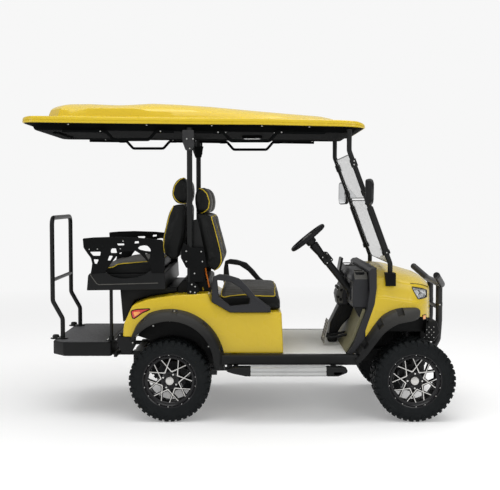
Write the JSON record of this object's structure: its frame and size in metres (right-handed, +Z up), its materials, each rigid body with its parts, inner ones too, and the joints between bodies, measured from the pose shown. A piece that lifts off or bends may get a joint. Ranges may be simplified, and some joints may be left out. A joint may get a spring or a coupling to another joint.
{
  "type": "electric utility vehicle",
  "caption": "Open electric utility vehicle with a long roof, front bench, rear-facing back seat, grab bar, side steps and raised all-terrain wheels.",
  "frame": {"origin": "on the ground under the middle of the overall length and width", "axes": "+X forward, +Y to the vehicle's left, +Z up"},
  "size_m": [2.964, 1.38, 2.196],
  "materials": {
    "frame_black": "satin black powder coat",
    "cast_grey": "matt black paint on castings",
    "spring_steel": "black enamel springs",
    "battery_case": "moulded case",
    "floor_grey": "ribbed light grey mat",
    "trim_black": "fine-grained black moulding",
    "step_aluminium": "anodised extrusion with black end caps",
    "body_yellow": "gloss yellow paint",
    "lamp_red": "red and amber lens",
    "lamp_clear": "clear lens over a grey housing",
    "kick_olive": "dark olive moulding",
    "dash_black": "dark grey moulding",
    "pedal_grey": "worn grey paint",
    "grip_black": "soft black grip",
    "seat_leather": "black leather with yellow piping",
    "screen_clear": "clear tinted sheet",
    "liner_black": "grained black liner",
    "tyre_black": "all-terrain rubber",
    "rim_black": "gloss black with machined edges"
  },
  "bodies": {
    "root": {"battery": "battery_case", "bull_bar": "frame_black", "chassis_frame": "frame_black", "cowl_trim": "trim_black", "dashboard": "dash_black", "fender_flares": "trim_black", "firewall": "kick_olive", "floor_pan": "floor_grey", "front_cowl": "body_yellow", "front_seat_backs": "seat_leather", "front_suspension": "frame_black", "grab_bar": "frame_black", "headlights": "lamp_clear", "hip_restraints": "trim_black", "mirrors": "trim_black", "pedals": "pedal_grey", "rear_armrests": "trim_black", "rear_axle": "cast_grey", "rear_body": "body_yellow", "rear_seat_backs": "seat_leather", "rear_seat_base": "trim_black", "rear_seat_cushion": "seat_leather", "rear_step": "trim_black", "roof_liner": "liner_black", "roof_shell": "body_yellow", "roof_struts": "frame_black", "side_sills": "trim_black", "side_steps": "step_aluminium", "springs": "spring_steel", "steering_column": "frame_black", "step_frame": "frame_black", "strut_brackets": "frame_black", "tail_caps": "trim_black", "tail_lights": "lamp_red", "windshield": "screen_clear"},
    "knuckle_left": {"knuckle_left": "cast_grey"},
    "knuckle_right": {"knuckle_right": "cast_grey"},
    "steering_wheel": {"steering_wheel": "grip_black"},
    "seat_cushion": {"front_seat_cushion": "seat_leather"},
    "wheel_front_left": {"tyre_front_left": "tyre_black", "rim_front_left": "rim_black"},
    "wheel_front_right": {"tyre_front_right": "tyre_black", "rim_front_right": "rim_black"},
    "wheel_rear_left": {"tyre_rear_left": "tyre_black", "rim_rear_left": "rim_black"},
    "wheel_rear_right": {"tyre_rear_right": "tyre_black", "rim_rear_right": "rim_black"}
  },
  "joints": [
    {"name": "steer_left", "type": "hinge", "parent": "root", "child": "knuckle_left", "pos_m": [1.202, 0.4, 0.28], "axis": [0, 0, 1], "range_deg": [-28, 28]},
    {"name": "steer_right", "type": "hinge", "parent": "root", "child": "knuckle_right", "pos_m": [1.202, -0.4, 0.28], "axis": [0, 0, 1], "range_deg": [-28, 28]},
    {"name": "spin_front_left", "type": "hinge", "parent": "knuckle_left", "child": "wheel_front_left", "pos_m": [1.202, 0.505, 0.28], "axis": [0, 1, 0], "continuous": true},
    {"name": "spin_front_right", "type": "hinge", "parent": "knuckle_right", "child": "wheel_front_right", "pos_m": [1.202, -0.505, 0.28], "axis": [0, 1, 0], "continuous": true},
    {"name": "spin_rear_left", "type": "hinge", "parent": "root", "child": "wheel_rear_left", "pos_m": [-0.468, 0.505, 0.28], "axis": [0, 1, 0], "continuous": true},
    {"name": "spin_rear_right", "type": "hinge", "parent": "root", "child": "wheel_rear_right", "pos_m": [-0.468, -0.505, 0.28], "axis": [0, 1, 0], "continuous": true},
    {"name": "steering_wheel_turn", "type": "hinge", "parent": "root", "child": "steering_wheel", "pos_m": [0.491, -0.28, 1.243], "axis": [-0.6293, 0, 0.7771], "range_deg": [-340, 340]},
    {"name": "front_seat_lift", "type": "hinge", "parent": "root", "child": "seat_cushion", "pos_m": [0.295, 0, 0.7463], "axis": [0, 1, 0], "range_deg": [0, 60]}
  ],
  "couplings": [
    {"joint": "steer_right", "follows": "steer_left", "ratio": 1},
    {"joint": "steering_wheel_turn", "follows": "steer_left", "ratio": 12}
  ]
}
